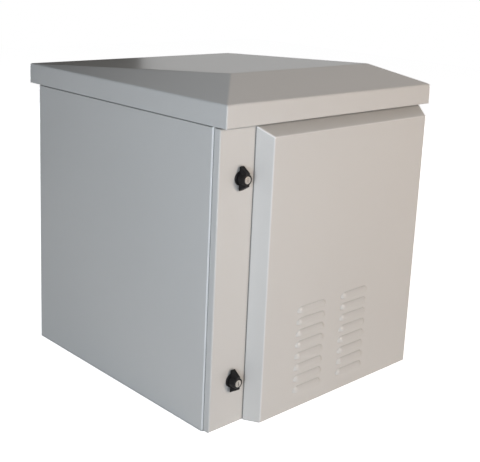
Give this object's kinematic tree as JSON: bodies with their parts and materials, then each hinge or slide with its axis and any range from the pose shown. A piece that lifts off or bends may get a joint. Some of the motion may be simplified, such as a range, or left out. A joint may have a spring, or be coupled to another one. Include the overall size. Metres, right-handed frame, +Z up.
{
  "type": "outdoor wall-mounted rack cabinet",
  "caption": "Light grey outdoor wall rack cabinet with a hipped rain cap, a hinged door with a raised louvred cover, wing knob locks and inner rack rails.",
  "frame": {"origin": "centre of the underside of the cabinet body", "axes": "+X to the right seen from the door, +Y to the wall behind the cabinet, +Z up"},
  "size_m": [0.6145, 0.6735, 0.684],
  "materials": {
    "grey_powder_coat": "satin powder coat",
    "zinc_plated_sheet": "zinc plated",
    "zinc_plated_fastener": "zinc plated",
    "nickel_plate": "nickel plated",
    "brass_plate": "plain",
    "black_plastic": "satin",
    "black_rubber": "matt",
    "black_foam": "matt foam",
    "filter_fleece": "fleece"
  },
  "bodies": {
    "cabinet": {"back_panel": "grey_powder_coat", "base_panel": "grey_powder_coat", "cable_grommet_left": "black_rubber", "cable_grommet_right": "black_rubber", "earth_nut": "zinc_plated_fastener", "earth_stud": "brass_plate", "frame_bottom": "grey_powder_coat", "frame_left": "grey_powder_coat", "frame_right": "grey_powder_coat", "frame_top": "grey_powder_coat", "gland_plate": "zinc_plated_sheet", "gland_plate_screws": "zinc_plated_fastener", "left_side_panel": "grey_powder_coat", "lower_hinge_body_leaf": "grey_powder_coat", "lower_hinge_pin": "zinc_plated_fastener", "rack_rail_bolts": "zinc_plated_fastener", "rack_rail_front_left": "zinc_plated_sheet", "rack_rail_front_right": "zinc_plated_sheet", "rack_rail_nuts": "zinc_plated_fastener", "rack_rail_rear_left": "zinc_plated_sheet", "rack_rail_rear_right": "zinc_plated_sheet", "rail_support_lower_left": "zinc_plated_sheet", "rail_support_lower_right": "zinc_plated_sheet", "rail_support_upper_left": "zinc_plated_sheet", "rail_support_upper_right": "zinc_plated_sheet", "right_side_panel": "grey_powder_coat", "roof_bolts": "zinc_plated_fastener", "roof_bracket_front_left": "grey_powder_coat", "roof_bracket_front_right": "grey_powder_coat", "roof_bracket_rear_left": "grey_powder_coat", "roof_bracket_rear_right": "grey_powder_coat", "roof_cap": "grey_powder_coat", "top_panel": "grey_powder_coat", "upper_hinge_body_leaf": "grey_powder_coat", "upper_hinge_pin": "zinc_plated_fastener", "wall_bracket_lower": "grey_powder_coat", "wall_bracket_rivets": "zinc_plated_fastener", "wall_bracket_upper": "grey_powder_coat"},
    "door": {"door_cover": "grey_powder_coat", "door_cover_nuts": "zinc_plated_fastener", "door_leaf": "grey_powder_coat", "door_seal": "black_foam", "filter_frame": "zinc_plated_sheet", "filter_mat": "filter_fleece", "filter_nuts": "zinc_plated_fastener", "lower_hinge_door_leaf": "grey_powder_coat", "lower_lock_housing": "black_plastic", "lower_lock_nut": "zinc_plated_fastener", "upper_hinge_door_leaf": "grey_powder_coat", "upper_lock_housing": "black_plastic", "upper_lock_nut": "zinc_plated_fastener"},
    "upper_knob": {"upper_lock_knob": "black_plastic", "upper_lock_cam": "zinc_plated_fastener", "upper_cam_nut": "zinc_plated_fastener"},
    "upper_key": {"upper_key_cylinder": "nickel_plate"},
    "lower_knob": {"lower_lock_knob": "black_plastic", "lower_lock_cam": "zinc_plated_fastener", "lower_cam_nut": "zinc_plated_fastener"},
    "lower_key": {"lower_key_cylinder": "nickel_plate"}
  },
  "joints": [
    {"name": "door_hinge", "type": "hinge", "parent": "cabinet", "child": "door", "pos_m": [0.306, -0.292, 0.3], "axis": [0, 0, 1], "range_deg": [0, 120]},
    {"name": "upper_knob_turn", "type": "hinge", "parent": "door", "child": "upper_knob", "pos_m": [-0.243, -0.3, 0.502], "axis": [0, 1, 0], "range_deg": [0, 90]},
    {"name": "upper_key_turn", "type": "hinge", "parent": "upper_knob", "child": "upper_key", "pos_m": [-0.243, -0.32, 0.502], "axis": [0, 1, 0], "range_deg": [0, 90]},
    {"name": "lower_knob_turn", "type": "hinge", "parent": "door", "child": "lower_knob", "pos_m": [-0.243, -0.3, 0.098], "axis": [0, 1, 0], "range_deg": [0, 90]},
    {"name": "lower_key_turn", "type": "hinge", "parent": "lower_knob", "child": "lower_key", "pos_m": [-0.243, -0.32, 0.098], "axis": [0, 1, 0], "range_deg": [0, 90]}
  ]
}
